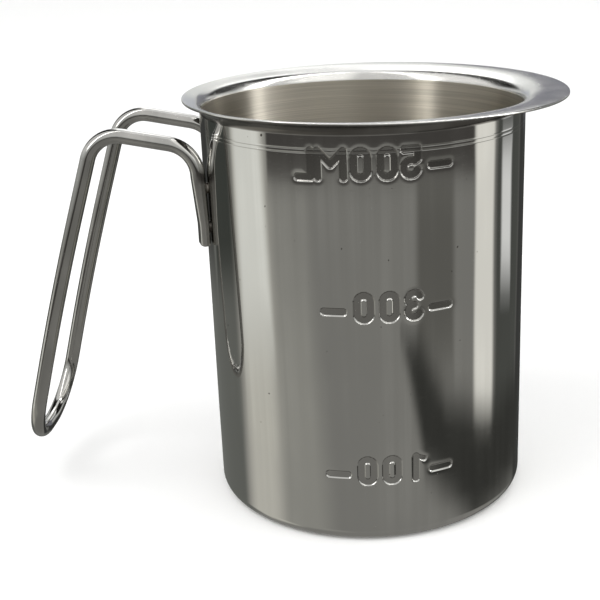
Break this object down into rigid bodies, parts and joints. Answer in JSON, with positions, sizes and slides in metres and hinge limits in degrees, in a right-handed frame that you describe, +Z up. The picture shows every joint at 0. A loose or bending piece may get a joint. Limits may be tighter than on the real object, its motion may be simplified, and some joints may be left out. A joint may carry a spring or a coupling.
{
  "type": "candle melting pot",
  "caption": "Cylindrical steel melting pot with an off-centre rolled-out pouring flange, pressed volume marks and a long bent wire handle welded to its wall.",
  "frame": {"origin": "centre of the flat base, on the surface the pot stands on", "axes": "+Z up along the cup's axis, +X towards the pouring lip, handle on the -X side, volume marks on the -Y side"},
  "size_m": [0.1436, 0.0968, 0.1057],
  "materials": {
    "pot_steel": "stainless steel, mirror polished outside, satin with fine circumferential lines inside",
    "wire_steel": "bright drawn stainless wire, lightly scratched",
    "weld_steel": "resistance weld nugget, slightly discoloured"
  },
  "bodies": {
    "root": {"pot_body": "pot_steel", "wire_handle": "wire_steel", "weld_near_upper": "weld_steel", "weld_near_lower": "weld_steel", "weld_far_upper": "weld_steel", "weld_far_lower": "weld_steel"}
  },
  "joints": []
}
